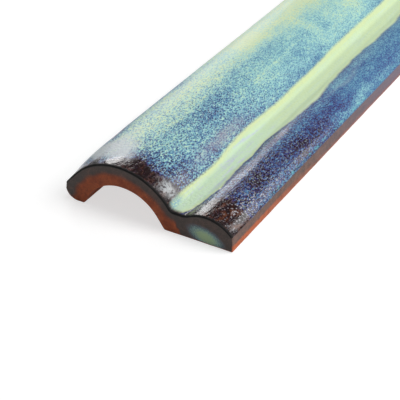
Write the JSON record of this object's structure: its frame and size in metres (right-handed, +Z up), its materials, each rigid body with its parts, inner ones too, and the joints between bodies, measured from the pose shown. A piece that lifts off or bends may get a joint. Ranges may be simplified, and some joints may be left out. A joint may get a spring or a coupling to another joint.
{
  "type": "ceramic trim tile",
  "caption": "Straight moulded ceramic trim tile with a hollow crown, a valley and a bead over a flat foot, glazed on its face, for finishing an edge of tiling.",
  "frame": {"origin": "middle of the underside, level with the toe and the foot that it rests on", "axes": "+X across the tile from the toe under the crown to the straight side of the foot, +Y along its length, +Z up through the glazed face"},
  "size_m": [0.0762, 0.3048, 0.0225],
  "materials": {
    "glazed_clay": "gloss reactive glaze over red clay, in teal, blue and brown with yellow-green runs; underside and lower edges bare"
  },
  "bodies": {
    "root": {"trim_tile": "glazed_clay"}
  },
  "joints": []
}
